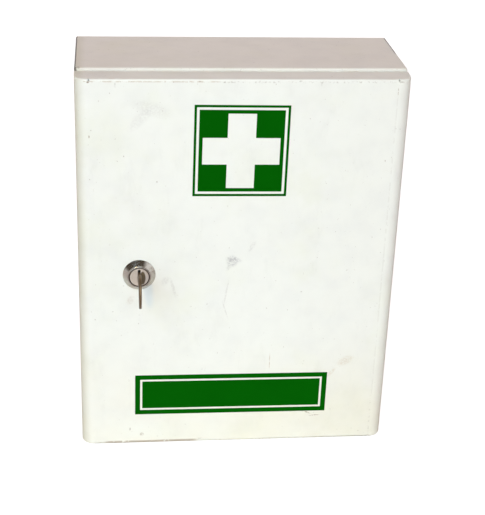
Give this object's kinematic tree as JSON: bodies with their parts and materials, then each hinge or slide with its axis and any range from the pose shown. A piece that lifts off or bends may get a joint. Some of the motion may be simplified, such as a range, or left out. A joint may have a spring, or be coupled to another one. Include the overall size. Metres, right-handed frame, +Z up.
{
  "type": "lockable medicine cabinet",
  "caption": "Wall medicine cabinet of folded white steel with a lockable pan door on hidden pivots, shelves inside and a key in its cam lock.",
  "frame": {"origin": "middle of the case's underside, halfway between the case's front and rear", "axes": "+X to the right as seen from the front, +Y to the back (the wall), +Z up"},
  "size_m": [0.32, 0.1893, 0.404],
  "materials": {
    "white_paint": "semi-gloss baked enamel",
    "zinc": "zinc plated",
    "nickel": "worn nickel plate",
    "plug_metal": "satin die-cast",
    "brass": "tarnished",
    "green_film": "printed vinyl film",
    "nylon": "moulded",
    "grey_rubber": "soft pad"
  },
  "bodies": {
    "cabinet": {"case_shell": "white_paint", "back_panel": "white_paint", "lower_shelf": "white_paint", "upper_shelf": "white_paint", "shelf_supports": "white_paint", "hinge_bracket_upper": "zinc", "hinge_bracket_lower": "zinc", "door_bumpers": "grey_rubber"},
    "door": {"door_panel": "white_paint", "pivot_bosses": "zinc", "pivot_washers": "nylon", "pivot_screws": "zinc", "lock_escutcheon": "nickel", "lock_body": "nickel", "lock_washer": "zinc", "lock_nut": "zinc", "cross_label": "green_film", "sign_label": "green_film"},
    "lock_plug": {"lock_plug": "plug_metal", "lock_wafers": "brass", "lock_cam": "zinc", "cam_washer": "zinc", "cam_screw": "zinc"},
    "key": {"key": "brass"}
  },
  "joints": [
    {"name": "door_hinge", "type": "hinge", "parent": "cabinet", "child": "door", "pos_m": [0.155, -0.0684, 0.20085], "axis": [0, 0, 1], "range_deg": [0, 110]},
    {"name": "lock_turn", "type": "hinge", "parent": "door", "child": "lock_plug", "pos_m": [-0.1, -0.0818, 0.1996], "axis": [0, 1, 0], "range_deg": [0, 90]},
    {"name": "key_pull", "type": "slide", "parent": "lock_plug", "child": "key", "axis": [0, -1, 0], "range_m": [0, 0.03]}
  ]
}
